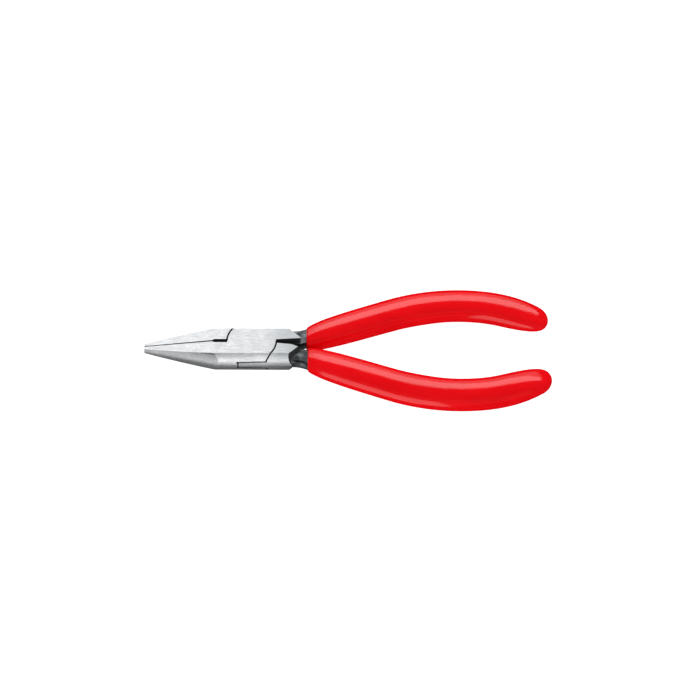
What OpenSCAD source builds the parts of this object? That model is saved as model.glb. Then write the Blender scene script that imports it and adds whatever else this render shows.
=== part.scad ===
// Long flat-sided nose pliers with a box joint and dipped handle coatings.
// The origin is on the pivot axis, in the plane that the head rests on. +Z is up along the pivot,
// the jaws point to -X and the handles to +X. Everything is in millimetres.

/* [Overall] */
// Distance from the pivot to the jaw tips
jaw_reach = 33.2; // [31:0.1:36]
// Distance from the pivot to the end of each handle's centre line
handle_reach = 90.9; // [90:0.1:93]

/* [Head] */
// Diameter that the sides of the head are ground to
head_diameter = 12.8; // [12.6:0.1:13.4]
// Thickness between the two ground flats
head_thickness = 8.4; // [8.2:0.1:8.8]
// Distance from the pivot to where the jaws start to taper
taper_start = 11.5; // [11:0.1:12.5]
// Distance from the pivot to the back end of the ground flats
head_back = 15; // [14.5:0.1:15.2]
// Thickness of both jaws at the tip
tip_thickness = 2.1; // [1.8:0.1:2.6]
// Half the width of the pair of jaws at the tip
tip_half_width = 1.07; // [0.9:0.01:1.4]
// Radius of the ground backs of the jaws
jaw_back_radius = 8; // [7.6:0.1:8.4]

/* [Joint] */
// Radius of the round seam about the pivot
joint_radius = 7.5; // [7.3:0.1:7.6]
// Clearance across the round seam
seam_gap = 0.22; // [0.1:0.01:0.3]
// Thickness of the tongue that passes through the box
tongue_thickness = 2.8; // [2.6:0.1:3.2]
// Clearance above and below the tongue
tongue_gap = 0.08; // [0.04:0.01:0.12]
// Diameter of the pivot rivet
rivet_diameter = 4; // [3.6:0.1:4.6]
// Radial running clearance of the tongue on the rivet
rivet_clearance = 0.04; // [0.02:0.01:0.08]
// Gap between the gripping faces at the tips
tip_gap = 0.04; // [0.02:0.01:0.1]
// Gap between the gripping faces at the root of the jaws
root_gap = 0.24; // [0.15:0.01:0.4]
// Width of the relief slot behind the gripping faces
relief_width = 1.24; // [1:0.02:1.5]

/* [Handles] */
// Distance from the centre line of the tool to each tang where it leaves the head
neck_offset = 3.35; // [3.3:0.05:3.5]
// Angle at which each handle spreads from the centre line
spread_angle = 20; // [19.5:0.5:20.5]
// Radius of the bend behind the head
neck_bend_radius = 12; // [10:0.5:13]
// Radius of the bow of each handle
bow_radius = 60; // [58:0.5:63]
// Distance from the pivot to the widest place of the handles
bow_x = 64; // [63:0.5:66]
// Distance from the centre line of the tool to the handle's centre at its widest place
bow_y = 17.4; // [17:0.1:18]
// Distance from the pivot to where the bow tightens towards the end
end_x = 71; // [70:0.5:75]
// Radius of the tighter bow at the end of each handle
end_radius = 41.5; // [38:0.5:50]
// Width of each coated handle, in the plane of the tool
grip_width = 9.9; // [9.6:0.1:10.2]
// Thickness of each coated handle
grip_thickness = 8.2; // [8.1:0.1:8.4]
// Length over which the outer side of the coating rounds in to its end
nose_outer = 5; // [4:0.5:7]
// Length over which the inner side of the coating rounds in to its end
nose_inner = 14.5; // [12:0.5:17]
// Length over which the thickness of the coating rounds in to its end
nose_depth = 15; // [12:0.5:17]
// Width of the steel tang inside the coating
tang_width = 6.8; // [6.4:0.1:7]
// Thickness of the steel tang inside the coating
tang_thickness = 5.8; // [5.4:0.1:6]
// Width of the bare neck between the head and the coating
neck_width = 5.56; // [5.3:0.02:5.6]
// Thickness of the bare neck
neck_thickness = 4.9; // [4.6:0.1:4.9]

/* [Hidden] */
$fn = 96;

FAR = 1;
NEAR = -1;
STEEL = "#d3d6d8";
RED = "#e30a17";

half_thickness = head_thickness / 2;
head_radius = head_diameter / 2;
half_tongue = tongue_thickness / 2;
margin = 1; // how far cutting shapes run past what they cut

// The side of the jaws: a line from the tip to where it meets the round of the head.
jaw_overrun = 1.5; // how far that line runs on behind the start of the taper
jaw_line_start = [-taper_start + jaw_overrun, head_radius];
jaw_line_end = [-jaw_reach, tip_half_width];
jaw_line = jaw_line_start - jaw_line_end;
jaw_side_angle = atan2(jaw_line[1], jaw_line[0]);

// The slanted corners at the back of the head lean by these angles, at this distance from the pivot.
corner_lean = 66.6;
corner_turn = 45.7;
corner_reach = 12.2;

// The round seam's edges are broken by a shallow groove.
groove_depth = 0.14;
groove_half_width = 0.2;

// The slots between the two halves, as distances from the centre line of the tool.
relief_ramp = 0.8; // length over which the gap between the jaws widens to the relief slot
box_slot_front = 0.62;
box_slot_back = 1.2;
tongue_slot_front = 0.75;
tongue_slot_corner = [12.2, 1.25];
tongue_slot_back = 2.9;

// The handle's centre line: neck, bend, straight stretch, bow and tighter end bow, each with its length.
neck_start_x = 9;
bow_start = [bow_x - bow_radius * sin(spread_angle), bow_y - bow_radius * (1 - cos(spread_angle))];
bend_corner_x = bow_start[0] - (bow_start[1] - neck_offset) / tan(spread_angle);
bend_reach = neck_bend_radius * tan(spread_angle / 2);
bend_start_x = bend_corner_x - bend_reach;
bend_end = [
    bend_corner_x + bend_reach * cos(spread_angle),
    neck_offset + bend_reach * sin(spread_angle)
];
end_turn = asin((end_x - bow_x) / bow_radius);
end_start_y = bow_y - bow_radius * (1 - cos(end_turn));
last_turn = asin((handle_reach - end_x) / end_radius + sin(end_turn));
function arc_length(radius, angle) = radius * angle * PI / 180;
neck_length = bend_start_x - neck_start_x;
before_straight = neck_length + arc_length(neck_bend_radius, spread_angle);
before_bow = before_straight + norm(bow_start - bend_end);
before_end = before_bow + arc_length(bow_radius, spread_angle + end_turn);
path_end = before_end + arc_length(end_radius, last_turn - end_turn);

// The coating starts where the bend ends. Its lip is square to the tool, and its rings turn over
// this length to stand square to the handle.
lip_s = before_straight;
turn_length = 8;
near_lip_back = 0.5; // the near coating starts this much further back
near_end_extra = 0.35; // and its end is this much longer

// It is thinner towards its lip, by these shares outwards, inwards and up.
lip_taper = [0.31, 0.24, 0.28];
lip_taper_length = [7.8, 4, 7.8];
lip_round = 0.05; // share of its size that it loses in the rounded edge of the lip
lip_round_length = 0.6;
grip_power = 2.6; // squareness of the coating's section: 2 is an ellipse

// Its inner side swells a little where the bow starts.
inner_swell = 0.24;
inner_swell_s = before_bow + 8;
inner_swell_length = 7;

// The tang fills out inside the coating, and ends short of the handle's nose.
tang_fill_length = 5;
tang_short = 8;
tang_nose = 3;
tang_end = path_end - tang_short;
tang_power = 2.8; // squareness of the tang's section
bond_gap = 0.03; // the coating stands this far clear of the tang
nose_floor = 0.02; // the noses end in a flat this share of the full size

// Sides of a ring, and how many rings each stretch of a handle has.
section_sides = 28;
lip_zone = 7; // length behind the lip where the rings are closer together
lip_rings = 7;
grip_rings = 15;
grip_nose_rings = 12;
neck_rings = 10;
core_lip_rings = 4;
core_rings = 15;
core_nose_rings = 4;

// ---- the handle's centre line ----

// Place and heading [x, y, angle] at distance s along the handle's centre line.
function on_neck(s) = [neck_start_x + s, neck_offset, 0];
function on_bend(s) =
    let (a = s / neck_bend_radius * 180 / PI)
    [bend_start_x + neck_bend_radius * sin(a), neck_offset + neck_bend_radius * (1 - cos(a)), a];
function on_straight(s) =
    [bend_end[0] + s * cos(spread_angle), bend_end[1] + s * sin(spread_angle), spread_angle];
function on_bow(s) =
    let (a = spread_angle - s / bow_radius * 180 / PI)
    [bow_x - bow_radius * sin(a), bow_y - bow_radius * (1 - cos(a)), a];
function on_end(s) =
    let (a = end_turn + s / end_radius * 180 / PI)
    [
        end_x + end_radius * (sin(a) - sin(end_turn)),
        end_start_y - end_radius * (cos(end_turn) - cos(a)),
        -a
    ];
function centre_line(s) =
    s < neck_length ? on_neck(s)
    : s < before_straight ? on_bend(s - neck_length)
    : s < before_bow ? on_straight(s - before_straight)
    : s < before_end ? on_bow(s - before_bow)
    : on_end(s - before_end);

// ---- lofted handle shapes ----

function spread(low, high, count) = [for (i = [0 : count]) low + (high - low) * i / count];
function signed_power(v, power) = sign(v) * pow(abs(v), power);

// How far a ring is turned: square to the tool up to the lip, then gradually square to the handle.
function ring_turn(s, heading) =
    let (t = min(1, max(0, (s - lip_s) / turn_length)))
    heading * t * t * (3 - 2 * t);

// One ring of points about the centre line at s: a superellipse with its own half size outwards,
// inwards and up, in that order. A ring that isn't square to the handle is stretched to fit it.
function ring(s, half, power) =
    let (
        at = centre_line(s),
        turn = ring_turn(s, at[2]),
        stretch = 1 / cos(at[2] - turn)
    )
    [
        for (i = [0 : section_sides - 1])
            let (
                t = 360 * (i + 0.5) / section_sides,
                side = cos(t) > 0 ? half[0] : half[1],
                u = stretch * side * signed_power(cos(t), 2 / power),
                v = half[2] * signed_power(sin(t), 2 / power)
            )
            [at[0] - u * sin(turn), at[1] + u * cos(turn), v]
    ];

// A round nose: 1 until its length from the end, then a quarter ellipse down to nearly nothing.
function nose(s, end, length) =
    let (t = max(0, (s - end + length) / length))
    max(nose_floor, sqrt(max(0, 1 - t * t)));

// How full the coating is at d from its lip. The way is 0 outwards, 1 inwards and 2 up.
function grip_fullness(d, way) =
    1 - lip_taper[way] * exp(-d / lip_taper_length[way]) - lip_round * exp(-d / lip_round_length);
// The half sizes at s of a coating that runs from start to end.
function grip_half(s, start, end) =
    let (swell = inner_swell * exp(-pow((s - inner_swell_s) / inner_swell_length, 2)))
    [
        grip_width / 2 * grip_fullness(s - start, 0) * nose(s, end, nose_outer),
        (grip_width / 2 * grip_fullness(s - start, 1) + swell) * nose(s, end, nose_inner),
        grip_thickness / 2 * grip_fullness(s - start, 2) * nose(s, end, nose_depth)
    ];
// The tang is waisted where it leaves the head, and fills out inside the coating.
function tang_half(s) =
    let (
        filled = 1 - exp(-max(0, s - lip_s) / tang_fill_length),
        width = neck_width + (tang_width - neck_width) * filled,
        thickness = neck_thickness + (tang_thickness - neck_thickness) * filled
    )
    nose(s, tang_end, tang_nose) / 2 * [width, width, thickness];
function cavity_half(s) = tang_half(s) + [bond_gap, bond_gap, bond_gap];

// Distances of the rings. They are closer together at the lip and towards the end of a nose.
function nose_stations(end, length, count) =
    [for (i = [1 : count]) end - length * (1 - sin(90 * i / count))];
function grip_stations(start, end) = concat(
    [for (i = [0 : lip_rings - 1]) start + lip_zone * pow(i / lip_rings, 2)],
    spread(start + lip_zone, end - nose_depth, grip_rings),
    nose_stations(end, nose_depth, grip_nose_rings)
);
// The rings that the tang and the coating's cavity share, behind the lip.
core_stations = concat(
    [for (i = [1 : core_lip_rings - 1]) lip_s + lip_zone * i / core_lip_rings],
    spread(lip_s + lip_zone, tang_end - tang_nose, core_rings),
    nose_stations(tang_end, tang_nose, core_nose_rings)
);
tang_stations = concat(spread(0, lip_s, neck_rings), core_stations);

function wall_faces(first, rings) = [
    for (r = [0 : rings - 2])
        for (i = [0 : section_sides - 1])
            let (
                j = (i + 1) % section_sides,
                a = first + r * section_sides,
                b = a + section_sides
            )
            each [[a + i, b + i, b + j], [a + i, b + j, a + j]]
];
function flipped(faces) = [for (f = faces) [for (i = [len(f) - 1 : -1 : 0]) f[i]]];
function cap_face(first) = [for (i = [0 : section_sides - 1]) first + i];

// The whole steel tang of one handle, closed at both ends.
module tang_loft() {
    rings = len(tang_stations);
    points = [for (s = tang_stations) each ring(s, tang_half(s), tang_power)];
    last = (rings - 1) * section_sides;
    polyhedron(
        points,
        concat(wall_faces(0, rings), [cap_face(0)], flipped([cap_face(last)])),
        convexity = 4
    );
}

// The coating of one handle: an outer skin, a cavity that the tang fills, and the ring between them.
module grip_loft(start, end) {
    outer_stations = grip_stations(start, end);
    inner_stations = concat([start], core_stations);
    outer_rings = len(outer_stations);
    inner_rings = len(inner_stations);
    points = concat(
        [for (s = outer_stations) each ring(s, grip_half(s, start, end), grip_power)],
        [for (s = inner_stations) each ring(s, cavity_half(s), tang_power)]
    );
    inner = outer_rings * section_sides;
    outer_last = inner - section_sides;
    inner_last = inner + (inner_rings - 1) * section_sides;
    lip = [
        for (i = [0 : section_sides - 1])
            let (j = (i + 1) % section_sides)
            each [[i, j, inner + j], [i, inner + j, inner + i]]
    ];
    polyhedron(
        points,
        concat(
            wall_faces(0, outer_rings),
            flipped([cap_face(outer_last)]),
            flipped(wall_faces(inner, inner_rings)),
            [cap_face(inner_last)],
            lip
        ),
        convexity = 6
    );
}

// ---- the ground head ----

// The shape that both halves are ground to together, seen from the side.
module side_profile() {
    tip = tip_thickness / 2;
    rotate([90, 0, 0])
        linear_extrude(height = head_diameter + 2 * margin, center = true)
            polygon([
                [-jaw_reach, -tip], [-jaw_reach, tip], [-taper_start, half_thickness],
                [head_back, half_thickness], [head_back, -half_thickness], [-taper_start, -half_thickness]
            ]);
}

module round_bar() {
    rotate([0, 90, 0])
        cylinder(d = head_diameter, h = 2 * jaw_reach + 2 * margin, center = true);
}

module ground_bar() {
    intersection() {
        round_bar();
        side_profile();
    }
}

// The back of one jaw is ground to a flatter curve that runs down to the tip.
module jaw_back(side) {
    mirror([0, side == NEAR ? 1 : 0, 0])
        translate([jaw_line_start[0], jaw_line_start[1], 0])
            rotate([0, 0, jaw_side_angle])
                translate([0, -jaw_back_radius, 0])
                    rotate([0, 90, 0])
                        cylinder(r = jaw_back_radius, h = 3 * jaw_reach, center = true);
}

// The front quarter of the head on one side: a jaw and its share of the joint.
module front_quarter(side) {
    relief = relief_width / 2;
    intersection() {
        ground_bar();
        jaw_back(side);
        mirror([0, side == NEAR ? 1 : 0, 0])
            linear_extrude(height = head_thickness + 2 * margin, center = true)
                polygon([
                    [-jaw_reach - margin, tip_gap / 2], [-taper_start - relief_ramp, root_gap / 2],
                    [-taper_start, relief], [0, relief],
                    [0, head_radius + margin], [-jaw_reach - margin, head_radius + margin]
                ]);
    }
}

// The slanted corners of the head, above and below the tang.
module back_corners() {
    for (up = [0, 1])
        mirror([0, 0, up])
            rotate([0, corner_lean, corner_turn])
                translate([-head_diameter * 2, -head_diameter * 2, corner_reach])
                    cube(head_diameter * 4);
}

// The back quarter of the head on one side. inner_edge is its outline along the rear slot.
module back_quarter(side, inner_edge) {
    mirror([0, side == NEAR ? 1 : 0, 0])
        difference() {
            intersection() {
                ground_bar();
                linear_extrude(height = head_thickness + 2 * margin, center = true)
                    polygon(concat(
                        inner_edge,
                        [[head_back + margin, head_radius + margin], [0, head_radius + margin]]
                    ));
            }
            back_corners();
        }
}

box_inner_edge = [
    [0, box_slot_front], [joint_radius, box_slot_front], [head_back + margin, box_slot_back]
];
tongue_inner_edge = [
    [0, tongue_slot_front], [joint_radius, tongue_slot_front],
    tongue_slot_corner, [head_back + margin, tongue_slot_back]
];

module tang(side) {
    mirror([0, side == NEAR ? 1 : 0, 0]) tang_loft();
}

// A shallow groove along the seam's two arcs, in both ground flats.
module seam_groove() {
    middle = joint_radius + seam_gap / 2;
    seam_sweep = 64;
    for (up = [0, 1], turn = [0, 180])
        mirror([0, 0, up])
            rotate([0, 0, turn - seam_sweep])
                rotate_extrude(angle = seam_sweep)
                    polygon([
                        [middle, half_thickness - 2 * groove_depth],
                        [middle + 2 * groove_half_width, half_thickness + groove_depth],
                        [middle - 2 * groove_half_width, half_thickness + groove_depth]
                    ]);
}

// ---- the pieces ----

module lift() {
    translate([0, 0, half_thickness]) children();
}

// The half with the box: near jaw, both cheeks and far handle.
module box_half() {
    color(STEEL)
    lift()
    difference() {
        union() {
            front_quarter(NEAR);
            intersection() {
                ground_bar();
                cylinder(r = joint_radius, h = head_thickness + 2 * margin, center = true);
            }
            back_quarter(FAR, box_inner_edge);
            tang(FAR);
        }
        cylinder(r = joint_radius + seam_gap, h = tongue_thickness + 2 * tongue_gap, center = true);
        cylinder(d = rivet_diameter, h = head_thickness + 2 * margin, center = true);
        seam_groove();
    }
}

// The half that passes through the box: far jaw, tongue and near handle.
module tongue_half() {
    color(STEEL)
    lift()
    difference() {
        union() {
            difference() {
                union() {
                    front_quarter(FAR);
                    back_quarter(NEAR, tongue_inner_edge);
                }
                for (up = [0, 1])
                    mirror([0, 0, up])
                        translate([0, 0, half_tongue])
                            cylinder(r = joint_radius + seam_gap, h = half_thickness);
            }
            intersection() {
                ground_bar();
                cylinder(r = joint_radius, h = tongue_thickness, center = true);
            }
            tang(NEAR);
        }
        cylinder(r = rivet_diameter / 2 + rivet_clearance, h = head_thickness, center = true);
        seam_groove();
    }
}

// The rivet is pressed into both cheeks and ground flush with them.
module pivot_rivet() {
    color(STEEL)
    cylinder(d = rivet_diameter, h = head_thickness);
}

module box_half_grip() {
    color(RED)
    lift()
    grip_loft(lip_s, path_end);
}

module tongue_half_grip() {
    color(RED)
    lift()
    mirror([0, 1, 0])
    grip_loft(lip_s + near_lip_back, path_end + near_end_extra);
}

box_half();
tongue_half();
pivot_rivet();
box_half_grip();
tongue_half_grip();
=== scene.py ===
"""Looks for the long nose pliers: steel halves from the frame, finer coatings, studio light and camera."""

import math

import bmesh
import bpy
from mathutils import Matrix, Vector


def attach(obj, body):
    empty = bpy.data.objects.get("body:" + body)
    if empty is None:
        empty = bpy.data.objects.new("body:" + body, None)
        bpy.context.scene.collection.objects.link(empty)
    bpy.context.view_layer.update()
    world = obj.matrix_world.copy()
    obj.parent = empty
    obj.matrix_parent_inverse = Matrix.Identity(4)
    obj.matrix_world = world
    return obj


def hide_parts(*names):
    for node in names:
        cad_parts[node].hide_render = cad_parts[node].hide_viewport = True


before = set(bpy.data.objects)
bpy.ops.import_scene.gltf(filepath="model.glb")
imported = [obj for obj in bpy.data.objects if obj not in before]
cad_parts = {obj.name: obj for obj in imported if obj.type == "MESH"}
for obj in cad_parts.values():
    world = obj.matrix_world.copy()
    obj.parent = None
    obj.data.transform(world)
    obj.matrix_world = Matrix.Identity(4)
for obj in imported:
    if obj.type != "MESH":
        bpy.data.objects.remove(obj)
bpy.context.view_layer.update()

MM = 0.001
NEAR, FAR = -1, 1
HEAD_THICKNESS = 8.4
MID_Z = HEAD_THICKNESS / 2


# ---- small helpers for node materials ----

class Graph:
    """A material and short ways to add nodes to it."""

    def __init__(self, name):
        self.material = bpy.data.materials.new(name)
        self.material.use_nodes = True
        self.nodes = self.material.node_tree.nodes
        self.links = self.material.node_tree.links
        self.shader = self.nodes["Principled BSDF"]

    def add(self, kind, **settings):
        node = self.nodes.new(kind)
        for key, value in settings.items():
            setattr(node, key, value)
        return node

    def feed(self, socket, value):
        if isinstance(value, bpy.types.NodeSocket):
            self.links.new(value, socket)
        else:
            socket.default_value = value

    def math(self, operation, a, b=0.0, clamp=False):
        node = self.add("ShaderNodeMath", operation=operation, use_clamp=clamp)
        self.feed(node.inputs[0], a)
        self.feed(node.inputs[1], b)
        return node.outputs[0]

    def ramp(self, value, low, high, to_low=0.0, to_high=1.0):
        node = self.add("ShaderNodeMapRange", interpolation_type="SMOOTHSTEP")
        for socket, given in zip(node.inputs[:5], (value, low, high, to_low, to_high)):
            self.feed(socket, given)
        return node.outputs[0]

    def mix(self, share, a, b):
        node = self.add("ShaderNodeMix", data_type="RGBA")
        self.feed(node.inputs["Factor"], share)
        self.feed(node.inputs[6], a)
        self.feed(node.inputs[7], b)
        return node.outputs[2]

    def noise(self, scale, stretch=(1, 1, 1), detail=3.0, roughness=0.5):
        """Noise on the object's own coordinates, in the frame's metres."""
        mapping = self.add("ShaderNodeMapping")
        self.feed(mapping.inputs["Vector"], self.add("ShaderNodeTexCoord").outputs["Object"])
        mapping.inputs["Scale"].default_value = stretch
        node = self.add("ShaderNodeTexNoise")
        self.feed(node.inputs["Vector"], mapping.outputs[0])
        node.inputs["Scale"].default_value = scale
        node.inputs["Detail"].default_value = detail
        node.inputs["Roughness"].default_value = roughness
        return node.outputs[0]

    def bump(self, height, strength, distance):
        node = self.add("ShaderNodeBump")
        node.inputs["Strength"].default_value = strength
        node.inputs["Distance"].default_value = distance
        self.feed(node.inputs["Height"], height)
        self.feed(self.shader.inputs["Normal"], node.outputs[0])

    def split_place(self):
        """The object's own x, y and z, so that a pattern stays on a half as it turns."""
        node = self.add("ShaderNodeSeparateXYZ")
        self.feed(node.inputs[0], self.add("ShaderNodeTexCoord").outputs["Object"])
        return node.outputs


# ---- materials ----

def ground_steel():
    """Bright steel, ground along the tool: fine streaks along X, a little wider haze, small pits. Towards the back
    of the head it is painted darker, as painted shade.
    """
    g = Graph("ground_steel")
    fine = g.noise(1.0, stretch=(900, 9000, 9000), detail=4.0, roughness=0.62)
    broad = g.noise(1.0, stretch=(260, 1900, 1900), detail=2.0)
    cloud = g.noise(420.0, detail=3.0)
    tone = g.math("ADD", g.math("MULTIPLY", fine, 0.65), g.math("MULTIPLY", broad, 0.35))
    steel = g.mix(g.ramp(tone, 0.36, 0.64), (0.40, 0.41, 0.42, 1), (0.64, 0.65, 0.66, 1))
    steel = g.mix(g.ramp(cloud, 0.35, 0.7, 0.0, 0.4), steel, (0.41, 0.42, 0.43, 1))
    along = g.split_place()["X"]
    # Painted shade: from 2 to 13 mm behind the pivot the steel is blended towards a darker grey.
    back = g.ramp(along, 0.002, 0.013, 0.0, 0.75)
    g.feed(g.shader.inputs["Base Color"], g.mix(back, steel, (0.32, 0.335, 0.345, 1)))
    g.shader.inputs["Metallic"].default_value = 1.0
    g.feed(g.shader.inputs["Roughness"], g.ramp(fine, 0.3, 0.7, 0.26, 0.40))
    g.bump(g.math("ADD", fine, g.math("MULTIPLY", broad, 0.4)), 0.28, 0.00002)
    return g.material


def machined_steel():
    """The gripping faces: plain cut steel with finer, cross-wise marks."""
    g = Graph("machined_steel")
    marks = g.noise(1.0, stretch=(9000, 1500, 1500), detail=3.0)
    g.feed(g.shader.inputs["Base Color"], g.mix(g.ramp(marks, 0.35, 0.65), (0.42, 0.43, 0.44, 1), (0.60, 0.61, 0.62, 1)))
    g.shader.inputs["Metallic"].default_value = 1.0
    g.feed(g.shader.inputs["Roughness"], g.ramp(marks, 0.3, 0.7, 0.32, 0.46))
    g.bump(marks, 0.2, 0.00002)
    return g.material


def black_steel_and_painted_shade():
    """The walls of the joint's slots, the other unground faces and the breaks along the seams, ledges and jaws:
    black and dull. The black is partly the steel's own finish and partly painted shade, darker than the necks', for
    the shade in the slots and the crevices.
    """
    g = Graph("black_steel_and_painted_shade")
    grain = g.noise(3000.0, detail=3.0)
    g.feed(g.shader.inputs["Base Color"], g.mix(grain, (0.008, 0.009, 0.010, 1), (0.03, 0.032, 0.034, 1)))
    g.shader.inputs["Metallic"].default_value = 0.3
    g.shader.inputs["Roughness"].default_value = 0.62
    g.shader.inputs["Specular IOR Level"].default_value = 0.25
    g.bump(grain, 0.3, 0.00003)
    return g.material


def neck_steel():
    """Forged steel left black by its heat treatment: slightly uneven, with a dull sheen."""
    g = Graph("neck_steel")
    patches = g.noise(420.0, detail=4.0)
    grain = g.noise(5200.0, detail=3.0)
    g.feed(g.shader.inputs["Base Color"], g.mix(g.ramp(patches, 0.35, 0.7), (0.03, 0.034, 0.036, 1), (0.14, 0.147, 0.152, 1)))
    g.shader.inputs["Metallic"].default_value = 0.85
    g.feed(g.shader.inputs["Roughness"], g.ramp(patches, 0.3, 0.7, 0.15, 0.26))
    g.bump(g.math("ADD", grain, g.math("MULTIPLY", patches, 1.5)), 0.35, 0.00004)
    return g.material


def dipped_plastic():
    """Glossy red dip coating: even colour, a very slight unevenness, and a fine satin grain in the gloss."""
    g = Graph("dipped_plastic")
    flow = g.noise(1.0, stretch=(70, 160, 160), detail=2.0)
    grain = g.noise(7000.0, detail=2.0)
    g.feed(g.shader.inputs["Base Color"], g.mix(g.ramp(flow, 0.3, 0.7), (0.86, 0.0010, 0.004, 1), (0.94, 0.0018, 0.006, 1)))
    g.feed(g.shader.inputs["Roughness"], g.ramp(grain, 0.3, 0.7, 0.10, 0.16))
    g.shader.inputs["IOR"].default_value = 1.5
    g.bump(g.math("ADD", g.math("MULTIPLY", flow, 6.0), g.math("MULTIPLY", grain, 0.15)), 0.12, 0.00006)
    return g.material


# ---- the steel halves: the CAD's own shape, with its edges broken ----

HEAD_RADIUS = 6.4
TAPER_START = 11.5
HEAD_BACK = 15.0
RIVET_RADIUS = 2.0
TONGUE_HALF = 1.4
SEAM_RADIUS = 7.5
# The ledge, seam and jaw breaks are bands painted dark, as painted shade in the crevices; the edge break keeps its
# faces' finish.
LEDGE_BREAK, SEAM_BREAK, JAW_BREAK, EDGE_BREAK = 0.32, 0.2, 0.12, 0.06
CREASE = math.radians(11)   # an edge sharper than this is a real edge, and not part of a round surface
# The second finish is the steel's own black, made darker and duller than the necks' as painted shade for the slots
# and seams.
GROUND, BLACK_AND_SHADE, MACHINED, NECK = 0, 1, 2, 3


def kind_of_face(face):
    """Which finish a face of a steel half has. Sizes are in millimetres, about the tool's own axis."""
    normal = face.normal
    x, y, z = face.calc_center_median()
    z -= MID_Z
    in_head = -TAPER_START - 1 < x < HEAD_BACK + 0.1
    on_flat = abs(abs(z) - MID_Z) < 0.05 and abs(normal.z) > 0.99
    on_round = all(abs(math.hypot(v.co.y, v.co.z - MID_Z) - HEAD_RADIUS) < 0.03 for v in face.verts)
    if in_head and (on_flat or on_round):
        return GROUND
    if x < -TAPER_START + 2.5:
        if abs(normal.y) > 0.95 and abs(y) < 0.3:
            return MACHINED
        outward = y * normal.y > 0.1
        if abs(normal.z) > 0.9 or outward or normal.x < -0.9:
            return GROUND
    # The rest takes the dark black finish: the steel's own black, deepened as painted shade.
    return NECK if x > 12.4 and normal.x < 0.4 else BLACK_AND_SHADE


def is_neck(face):
    return face.material_index == NECK


def is_ledge(face):
    """A level wall of the slot that the tongue turns in."""
    z = face.calc_center_median().z - MID_Z
    return face.material_index == BLACK_AND_SHADE and abs(face.normal.z) > 0.99 and abs(z) < TONGUE_HALF + 0.2


def is_seam_wall(face):
    """An upright wall of the round seam about the pivot."""
    if face.material_index != BLACK_AND_SHADE or abs(face.normal.z) > 0.3:
        return False
    return all(abs(math.hypot(v.co.x, v.co.y) - SEAM_RADIUS) < 0.4 for v in face.verts)


def on_round_side(face):
    return face.material_index == GROUND and abs(face.normal.z) < 0.99


def at_rivet(edge):
    return all(math.hypot(v.co.x, v.co.y) < RIVET_RADIUS + 0.1 for v in edge.verts)


def creases(bm, wanted):
    """The real edges whose two faces pass the test."""
    found = []
    for edge in bm.edges:
        if len(edge.link_faces) != 2 or edge.calc_face_angle() < CREASE:
            continue
        if all(is_neck(face) for face in edge.link_faces) or at_rivet(edge):
            continue
        if wanted(*edge.link_faces):
            found.append(edge)
    return found


def break_edges(bm, edges, width, material=-1):
    bmesh.ops.bevel(
        bm, geom=edges, offset=width, offset_type="OFFSET", segments=2, profile=0.5,
        affect="EDGES", clamp_overlap=True, material=material,
    )


def steel_half(name, node, body, materials):
    bm = bmesh.new()
    bm.from_mesh(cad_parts[node].data)
    bmesh.ops.scale(bm, vec=(1 / MM,) * 3, verts=bm.verts)
    bmesh.ops.remove_doubles(bm, verts=bm.verts, dist=0.002)
    bmesh.ops.dissolve_limit(bm, angle_limit=math.radians(0.2), verts=bm.verts, edges=bm.edges)
    bm.normal_update()
    for face in bm.faces:
        face.material_index = kind_of_face(face)
    # The breaks along the ledges, the round seam and the jaws' gripping edges take the black material: painted shade
    # standing in for the shadow in these crevices.
    ledge = creases(bm, lambda a, b: (is_ledge(a) and b.material_index == GROUND)
                    or (is_ledge(b) and a.material_index == GROUND))
    break_edges(bm, ledge, LEDGE_BREAK, BLACK_AND_SHADE)
    seam = creases(bm, lambda a, b: (is_seam_wall(a) and on_round_side(b)) or (is_seam_wall(b) and on_round_side(a)))
    break_edges(bm, seam, SEAM_BREAK, BLACK_AND_SHADE)
    jaw = creases(bm, lambda a, b: {a.material_index, b.material_index} == {GROUND, MACHINED})
    break_edges(bm, jaw, JAW_BREAK, BLACK_AND_SHADE)
    rest = creases(bm, lambda a, b: GROUND in (a.material_index, b.material_index))
    break_edges(bm, rest, EDGE_BREAK)
    for edge in bm.edges:
        if len(edge.link_faces) == 2:
            edge.smooth = edge.calc_face_angle() < math.radians(35) or all(is_neck(f) for f in edge.link_faces)
    for face in bm.faces:
        face.smooth = True
    bmesh.ops.scale(bm, vec=(MM,) * 3, verts=bm.verts)
    mesh = bpy.data.meshes.new(name)
    bm.to_mesh(mesh)
    bm.free()
    for material in materials:
        mesh.materials.append(material)
    piece = bpy.data.objects.new(name, mesh)
    bpy.context.scene.collection.objects.link(piece)
    steel_only.objects.link(piece)
    normals = piece.modifiers.new("normals", "WEIGHTED_NORMAL")
    normals.mode = "FACE_AREA"
    normals.keep_sharp = True
    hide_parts(node)
    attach(piece, body)
    return piece


# ---- the coatings: the same handle line as in the CAD, with finer sections and a rounded lip ----

NECK_OFFSET, SPREAD, BEND_RADIUS = 3.35, math.radians(20), 12.0
BOW_RADIUS, BOW_X, BOW_Y = 60.0, 64.0, 17.4
END_X, END_RADIUS, HANDLE_REACH = 71.0, 41.5, 90.9
GRIP_WIDTH, GRIP_THICKNESS, SECTION_POWER = 9.9, 8.2, 2.6
NOSE_LENGTHS = (5.0, 14.5, 15.0)   # outwards, inwards and up, as are the tapers
LIP_TAPER, LIP_TAPER_LENGTHS = (0.31, 0.24, 0.28), (7.8, 4.0, 7.8)
LIP_ROUND, LIP_ROUND_LENGTH = 0.05, 0.6
INNER_SWELL, SWELL_BEHIND_BOW, SWELL_LENGTH = 0.24, 8.0, 7.0
TURN_LENGTH = 8.0
NEAR_LIP_BACK, NEAR_END_EXTRA = 0.5, 0.35
SIDES = 72
ROLL_RADIUS, ROLL_STEPS = 0.3, 6
BODY_STEP = 0.8
NOSE_STEPS = 36

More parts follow.
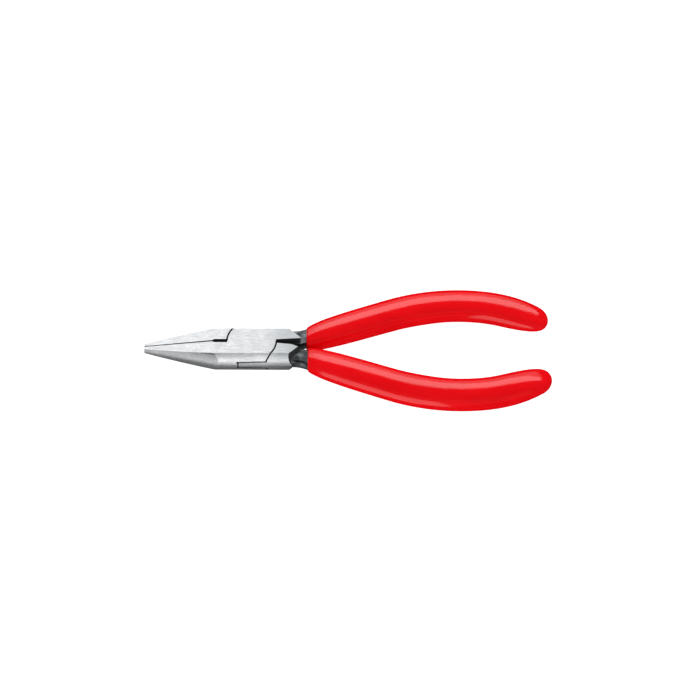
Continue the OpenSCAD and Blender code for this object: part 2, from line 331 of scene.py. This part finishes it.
bow_start = (BOW_X - BOW_RADIUS * math.sin(SPREAD), BOW_Y - BOW_RADIUS * (1 - math.cos(SPREAD)))
bend_corner_x = bow_start[0] - (bow_start[1] - NECK_OFFSET) / math.tan(SPREAD)
bend_reach = BEND_RADIUS * math.tan(SPREAD / 2)
lip_place = (bend_corner_x + bend_reach * math.cos(SPREAD), NECK_OFFSET + bend_reach * math.sin(SPREAD))
end_turn = math.asin((END_X - BOW_X) / BOW_RADIUS)
end_start_y = BOW_Y - BOW_RADIUS * (1 - math.cos(end_turn))
last_turn = math.asin((HANDLE_REACH - END_X) / END_RADIUS + math.sin(end_turn))
straight_length = math.dist(bow_start, lip_place)
bow_length = BOW_RADIUS * (SPREAD + end_turn)
line_length = straight_length + bow_length + END_RADIUS * (last_turn - end_turn)


def centre_line(d):
    """Place and heading at distance d from the coating's lip, where the bend behind the head ends."""
    if d < straight_length:
        return lip_place[0] + d * math.cos(SPREAD), lip_place[1] + d * math.sin(SPREAD), SPREAD
    d -= straight_length
    if d < bow_length:
        a = SPREAD - d / BOW_RADIUS
        return BOW_X - BOW_RADIUS * math.sin(a), BOW_Y - BOW_RADIUS * (1 - math.cos(a)), a
    a = end_turn + (d - bow_length) / END_RADIUS
    x = END_X + END_RADIUS * (math.sin(a) - math.sin(end_turn))
    return x, end_start_y - END_RADIUS * (math.cos(end_turn) - math.cos(a)), -a


def half_sizes(d, start, end):
    """Half the coating's size outwards, inwards and up, at d along a coating from start to end."""
    swell = INNER_SWELL * math.exp(-((d - straight_length - SWELL_BEHIND_BOW) / SWELL_LENGTH) ** 2)
    sizes = []
    for way, full in enumerate((GRIP_WIDTH, GRIP_WIDTH, GRIP_THICKNESS)):
        taper = LIP_TAPER[way] * math.exp(-(d - start) / LIP_TAPER_LENGTHS[way])
        rounding = LIP_ROUND * math.exp(-(d - start) / LIP_ROUND_LENGTH)
        t = max(0.0, (d - end + NOSE_LENGTHS[way]) / NOSE_LENGTHS[way])
        half = full / 2 * (1 - taper - rounding) + (swell if way == 1 else 0.0)
        sizes.append(half * math.sqrt(max(0.0, 1 - t * t)))
    return sizes


def grip_ring(d, side, start, end, shrink=0.0):
    """A ring of the coating's skin in metres, shrunk by some millimetres."""
    outer, inner, up = [max(0.0, size - shrink) for size in half_sizes(d, start, end)]
    x, y, heading = centre_line(d)
    t = min(1.0, max(0.0, d / TURN_LENGTH))
    turn = heading * t * t * (3 - 2 * t)
    stretch = 1 / math.cos(heading - turn)
    ring = []
    for i in range(SIDES):
        t = 2 * math.pi * (i + 0.5) / SIDES
        c, s = math.cos(t), math.sin(t)
        u = stretch * (outer if c > 0 else inner) * math.copysign(abs(c) ** (2 / SECTION_POWER), c)
        v = up * math.copysign(abs(s) ** (2 / SECTION_POWER), s)
        ring.append(((x - u * math.sin(turn)) * MM, side * (y + u * math.cos(turn)) * MM, (MID_Z + v) * MM))
    return ring


def coating(name, side, body, node, material):
    """One coating: a lip rolled in to the steel, the body, and a round nose."""
    start = NEAR_LIP_BACK if side == NEAR else 0.0
    end = line_length + (NEAR_END_EXTRA if side == NEAR else 0.0)
    rings = [grip_ring(start + 0.3, side, start, end, shrink=0.6)]
    rings.append(grip_ring(start, side, start, end, shrink=0.6))
    for i in range(ROLL_STEPS + 1):
        a = math.pi / 2 * i / ROLL_STEPS
        back = ROLL_RADIUS * (1 - math.cos(a))
        rings.append(grip_ring(start + back, side, start, end, shrink=ROLL_RADIUS * (1 - math.sin(a))))
    body_start = start + ROLL_RADIUS
    nose_start = end - NOSE_LENGTHS[2]
    body_steps = int((nose_start - body_start) / BODY_STEP)
    for i in range(1, body_steps):
        rings.append(grip_ring(body_start + (nose_start - body_start) * i / body_steps, side, start, end))
    for i in range(NOSE_STEPS):
        d = end - NOSE_LENGTHS[2] * (1 - math.sin(math.pi / 2 * i / NOSE_STEPS))
        rings.append(grip_ring(d, side, start, end))
    x, y, _ = centre_line(end)
    points = [point for ring in rings for point in ring] + [(x * MM, side * y * MM, MID_Z * MM)]
    faces = []
    for r in range(len(rings) - 1):
        for i in range(SIDES):
            j = (i + 1) % SIDES
            faces.append((r * SIDES + i, r * SIDES + j, (r + 1) * SIDES + j, (r + 1) * SIDES + i))
    last = (len(rings) - 1) * SIDES
    faces += [(last + i, last + (i + 1) % SIDES, len(points) - 1) for i in range(SIDES)]
    faces.append(tuple(reversed(range(SIDES))))
    if side == NEAR:
        faces = [face[::-1] for face in faces]
    mesh = bpy.data.meshes.new(name)
    mesh.from_pydata(points, [], faces)
    mesh.materials.append(material)
    mesh.shade_smooth()
    piece = bpy.data.objects.new(name, mesh)
    bpy.context.scene.collection.objects.link(piece)
    coatings_only.objects.link(piece)
    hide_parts(node)
    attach(piece, body)
    return piece


steels = [ground_steel(), black_steel_and_painted_shade(), machined_steel(), neck_steel()]
steel_only = bpy.data.collections.new("steel_only")
coatings_only = bpy.data.collections.new("coatings_only")
steel_half("box_half_steel", "box_half", "box_lever", steels)
steel_half("tongue_half_steel", "tongue_half", "tongue_lever", steels)
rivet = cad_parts["pivot_rivet"]
steel_only.objects.link(rivet)
for face in rivet.data.polygons:
    face.use_smooth = abs(face.normal.z) < 0.9
rivet.data.materials.clear()
rivet.data.materials.append(steels[GROUND])
red = dipped_plastic()
coating("box_half_coating", FAR, "box_lever", "box_half_grip", red)
coating("tongue_half_coating", NEAR, "tongue_lever", "tongue_half_grip", red)


# ---- floor, light and camera ----

LIGHT_HEIGHT = 0.7   # metres above the floor


def make_floor():
    """A plain white table. Glossy surfaces don't mirror it, so the coatings keep their deep colour."""
    size = 4.0
    mesh = bpy.data.meshes.new("floor")
    mesh.from_pydata([(-size, -size, 0), (size, -size, 0), (size, size, 0), (-size, size, 0)], [], [(0, 1, 2, 3)])
    floor = bpy.data.objects.new("floor", mesh)
    bpy.context.scene.collection.objects.link(floor)
    g = Graph("floor")
    g.shader.inputs["Base Color"].default_value = (0.5, 0.5, 0.5, 1)
    g.shader.inputs["Roughness"].default_value = 0.9
    g.shader.inputs["Specular IOR Level"].default_value = 0.0
    g.shader.inputs["Emission Color"].default_value = (1, 1, 1, 1)
    g.shader.inputs["Emission Strength"].default_value = 1.0
    mesh.materials.append(g.material)
    floor.visible_glossy = False
    floor.visible_shadow = False
    floor.visible_diffuse = False


def softbox(name, place, width, depth, radiance, aim=(0.03, 0, 0), only=None):
    """A soft rectangular light at a place in metres, facing its aim, with its width level."""
    data = bpy.data.lights.new(name, "AREA")
    data.shape = "RECTANGLE"
    data.size, data.size_y = width, depth
    data.energy = radiance * width * depth * math.pi
    light = bpy.data.objects.new(name, data)
    light.location = place
    light.rotation_mode = "QUATERNION"
    light.rotation_quaternion = (Vector(place) - Vector(aim)).to_track_quat("Z", "Y")
    light.visible_camera = False
    bpy.context.scene.collection.objects.link(light)
    if only:
        light.light_linking.receiver_collection = only
    return light


def overhead(name, left, right, near, far, radiance, only=None):
    """A level softbox over the table. Its edges are given as shares of its height, from the tool's middle."""
    h = LIGHT_HEIGHT
    place = (0.03 + h * (left + right) / 2, h * (near + far) / 2, h)
    below = (place[0], place[1], 0)
    return softbox(name, place, h * (right - left), h * (far - near), radiance, aim=below, only=only)


def make_world(strength):
    """Even light for matt surfaces from all round."""
    world = bpy.data.worlds.new("studio")
    bpy.context.scene.world = world
    world.use_nodes = True
    background = world.node_tree.nodes["Background"]
    background.inputs["Color"].default_value = (1, 1, 1, 1)
    background.inputs["Strength"].default_value = strength
    world.cycles_visibility.glossy = False


def make_camera():
    """The viewing angle of the photograph: 52 degrees up, square to the tool, with a slight roll."""
    elevation, roll = math.radians(52), math.radians(0.25)
    distance, aim_x, lower = 0.8496, 0.03025, 0.000154
    forward = Vector((0, math.cos(elevation), -math.sin(elevation)))
    right = Vector((1, 0, 0))
    up = right.cross(forward)
    rolled_right = right * math.cos(roll) + up * math.sin(roll)
    rolled_up = up * math.cos(roll) - right * math.sin(roll)
    camera = bpy.data.objects.new("camera", bpy.data.cameras.new("camera"))
    camera.data.lens = 141.6
    camera.data.clip_start, camera.data.clip_end = 0.01, 20
    camera.location = Vector((aim_x, 0, MID_Z * MM)) - forward * distance - rolled_up * lower
    camera.rotation_mode = "QUATERNION"
    axes = (rolled_right, rolled_up, -forward)
    camera.rotation_quaternion = Matrix(axes).transposed().to_quaternion()
    bpy.context.scene.collection.objects.link(camera)
    bpy.context.scene.camera = camera


make_floor()
make_world(0.75)
overhead("key_right", -0.25, 0.85, 0.61, 1.12, 3.0, only=coatings_only)
overhead("key_left", -0.9, -0.25, 0.61, 1.12, 1.9, only=coatings_only)
overhead("key_right_on_steel", -0.25, 0.85, 0.45, 1.12, 1.8, only=steel_only)
overhead("key_left_on_steel", -0.9, -0.25, 0.45, 1.12, 2.2, only=steel_only)
overhead("mirror_key_on_steel", -0.9, 0.85, -1.1, -0.6, 1.6, only=steel_only)
overhead("top_fill_on_steel", -0.9, 0.85, -0.6, 0.45, 0.9, only=steel_only)
overhead("back", -1.2, 0.9, 1.18, 2.6, 0.8)
softbox("low_left", (-0.19, -0.49, -0.27), 0.42, 0.5, 1.25, only=coatings_only)
softbox("low_left_on_steel", (-0.19, -0.49, -0.27), 0.42, 0.5, 0.95, only=steel_only)
softbox("near_fill", (0.16, -0.6, -0.06), 0.44, 0.50, 2.35, aim=(0, 0, 0), only=steel_only)
softbox("near_upper", (0.18, -0.6, 0.32), 0.42, 0.22, 1.9, aim=(0, 0, 0), only=steel_only)
softbox("under_fill", (0.03, -0.15, -0.4), 0.9, 0.6, 0.2, aim=(0.03, 0, 0), only=steel_only)
softbox("near_glow", (0.03, -0.7, 0.0), 1.6, 0.9, 0.08, only=coatings_only)
softbox("far_fill", (0.0, 0.8, 0.12), 1.2, 0.7, 1.3, only=steel_only)
softbox("left_fill", (-0.8, 0.1, 0.2), 0.7, 0.5, 0.9, only=steel_only)
softbox("right_fill", (0.9, 0.1, 0.2), 0.7, 0.5, 0.9, only=steel_only)
make_camera()
bpy.context.scene.view_settings.view_transform = "Standard"
